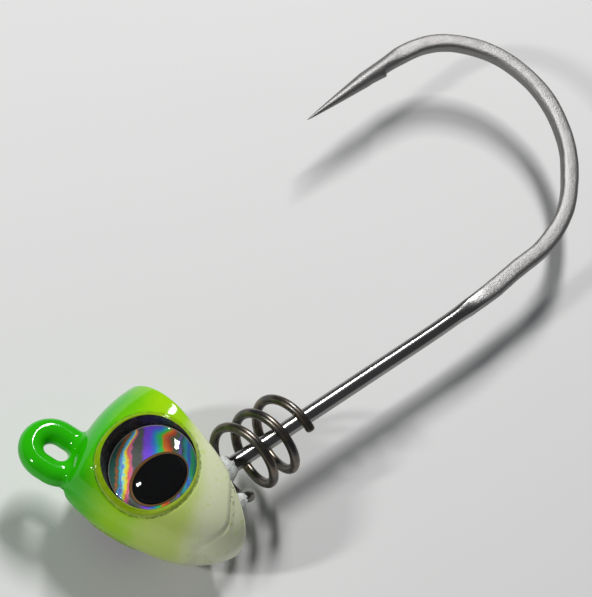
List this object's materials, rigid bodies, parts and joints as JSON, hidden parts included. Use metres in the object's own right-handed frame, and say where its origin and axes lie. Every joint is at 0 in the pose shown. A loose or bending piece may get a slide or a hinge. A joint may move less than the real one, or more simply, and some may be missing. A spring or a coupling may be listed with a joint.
{
  "type": "jig head",
  "caption": "Cast fish-shaped jig head on a wide-gap forged hook, with domed stick-on eyes, a line-tie ring and a coiled wire keeper for a soft bait.",
  "frame": {"origin": "centre of the line-tie ring, in the hook's plane", "axes": "+X back along the shank towards the hook's bend, +Y up towards the hook's point, +Z out of the left cheek, square to the hook's plane"},
  "size_m": [0.0595, 0.0279, 0.011],
  "materials": {
    "head_paint": "gloss",
    "hook_steel": "polished",
    "ring_paint": "gloss",
    "keeper_wire": "satin",
    "collar_paint": "gloss",
    "adhesive": "matte",
    "foil": "holographic",
    "bronze_print": "metallic print",
    "black_print": "gloss",
    "clear_resin": "clear gloss"
  },
  "bodies": {
    "root": {"lead_head": "head_paint", "hook": "hook_steel", "line_tie_coat": "ring_paint", "keeper_spring": "keeper_wire", "shank_coat": "collar_paint", "keeper_root_coat": "collar_paint", "left_eye_adhesive": "adhesive", "left_iris_foil": "foil", "left_pupil_ring": "bronze_print", "left_pupil": "black_print", "left_eye_lens": "clear_resin", "right_eye_adhesive": "adhesive", "right_iris_foil": "foil", "right_pupil_ring": "bronze_print", "right_pupil": "black_print", "right_eye_lens": "clear_resin"}
  },
  "joints": []
}
